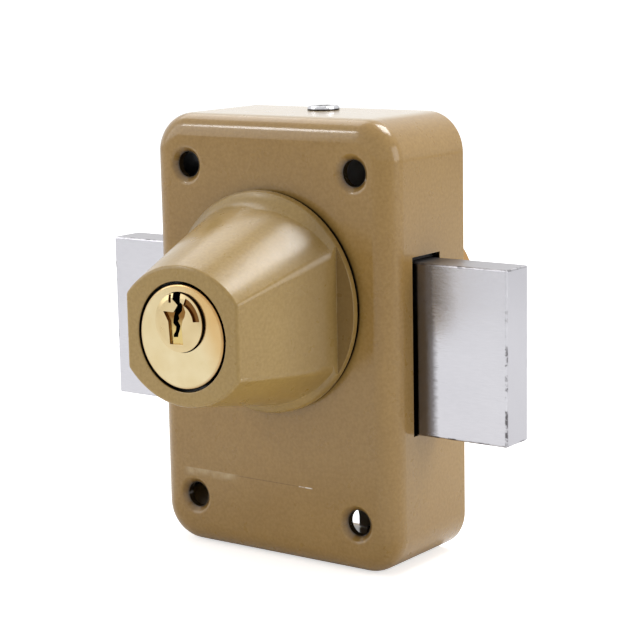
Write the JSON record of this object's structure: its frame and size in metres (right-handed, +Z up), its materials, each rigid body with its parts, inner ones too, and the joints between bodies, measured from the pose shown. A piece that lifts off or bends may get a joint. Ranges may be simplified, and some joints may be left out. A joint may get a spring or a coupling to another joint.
{
  "type": "rim lock",
  "caption": "Surface-mounted rim lock with a through bolt thrown by a turning knob; the knob holds a key cylinder and a second round cylinder runs back through the door.",
  "frame": {"origin": "centre of the outer cylinder on the door plane", "axes": "+X to the right seen from the room, along the bolt; +Y into the door, along the outer cylinder; +Z up"},
  "size_m": [0.1114, 0.1026, 0.1032],
  "materials": {
    "case_paint": "semi-gloss bronze-beige paint",
    "knob_paint": "semi-gloss bronze-beige paint on a casting",
    "bolt_steel": "ground and nickel plated",
    "plate_steel": "zinc plated sheet",
    "screw_chrome": "bright chrome",
    "screw_steel": "zinc plated",
    "bush_steel": "turned steel",
    "spindle_steel": "turned steel",
    "spring_steel": "hardened spring steel",
    "guide_nylon": "black nylon",
    "brass_body": "turned and polished",
    "brass_plug": "turned brass",
    "brass_pins": "bare brass"
  },
  "bodies": {
    "case_body": {"case": "case_paint", "back_plate": "plate_steel", "case_screw": "screw_chrome", "knob_bush": "bush_steel", "lock_ring": "plate_steel", "bolt_guide_left": "guide_nylon", "bolt_guide_right": "guide_nylon", "detent_post": "plate_steel", "detent_spring": "spring_steel", "detent_screw": "screw_steel", "outer_cylinder": "brass_body", "cylinder_screws": "screw_steel", "outer_pin_springs": "spring_steel", "outer_chamber_cover": "brass_body"},
    "bolt_body": {"bolt": "bolt_steel"},
    "knob_body": {"knob": "knob_paint", "drive_spindle": "spindle_steel", "spindle_screws": "screw_steel", "bush_circlip": "spring_steel", "inner_cylinder": "brass_body", "inner_cylinder_screws": "screw_steel", "inner_pin_springs": "spring_steel", "inner_chamber_cover": "brass_body"},
    "inner_plug_body": {"inner_plug": "brass_plug", "lock_cam": "spindle_steel", "cam_screw": "screw_steel"},
    "inner_key_pin_body": {"inner_key_pins": "brass_pins"},
    "inner_driver_pin_body": {"inner_driver_pins": "brass_pins"},
    "slider_body": {"lock_slider": "spindle_steel"},
    "outer_plug_body": {"outer_plug": "brass_plug", "outer_plug_clip": "spring_steel", "tail_fork": "spindle_steel", "clutch_spring": "spring_steel"},
    "clutch_body": {"clutch_dog": "spindle_steel", "clutch_rod": "spindle_steel"},
    "outer_key_pin_body": {"outer_key_pins": "brass_pins"},
    "outer_driver_pin_body": {"outer_driver_pins": "brass_pins"}
  },
  "joints": [
    {"name": "knob_turn", "type": "hinge", "parent": "case_body", "child": "knob_body", "pos_m": [0, -0.045, 0.00325], "axis": [0, 1, 0], "range_deg": [0, 180]},
    {"name": "bolt_slide", "type": "slide", "parent": "case_body", "child": "bolt_body", "axis": [1, 0, 0], "range_m": [-0.022, 0], "deforming": ["detent_spring"]},
    {"name": "inner_key_turn", "type": "hinge", "parent": "knob_body", "child": "inner_plug_body", "pos_m": [0, -0.05, 0.00325], "axis": [0, 1, 0], "range_deg": [0, 90]},
    {"name": "slider_move", "type": "slide", "parent": "knob_body", "child": "slider_body", "axis": [0, 0, 1], "range_m": [0, 0.0024]},
    {"name": "inner_driver_lift", "type": "slide", "parent": "knob_body", "child": "inner_driver_pin_body", "axis": [0, 0, 1], "range_m": [-0.0012, 0], "stiffness_N_per_m": 200, "springref_m": 0.001, "deforming": ["inner_pin_springs"]},
    {"name": "inner_key_pin_lift", "type": "slide", "parent": "inner_plug_body", "child": "inner_key_pin_body", "axis": [0, 0, 1], "range_m": [0, 0.0008]},
    {"name": "outer_key_turn", "type": "hinge", "parent": "case_body", "child": "outer_plug_body", "pos_m": [0, 0.02, 0.00325], "axis": [0, 1, 0], "range_deg": [0, 180]},
    {"name": "clutch_push", "type": "slide", "parent": "outer_plug_body", "child": "clutch_body", "axis": [0, 1, 0], "range_m": [-0.0022, 0], "stiffness_N_per_m": 300, "springref_m": 0.002, "deforming": ["clutch_spring"]},
    {"name": "outer_driver_lift", "type": "slide", "parent": "case_body", "child": "outer_driver_pin_body", "axis": [0, 0, 1], "range_m": [-0.0012, 0], "stiffness_N_per_m": 200, "springref_m": 0.001, "deforming": ["outer_pin_springs"]},
    {"name": "outer_key_pin_lift", "type": "slide", "parent": "outer_plug_body", "child": "outer_key_pin_body", "axis": [0, 0, 1], "range_m": [0, 0.0008]}
  ],
  "couplings": [
    {"joint": "bolt_slide", "follows": "knob_turn", "m_per_rad": -0.007},
    {"joint": "inner_key_turn", "follows": "slider_move", "rad_per_m": 654.49}
  ]
}
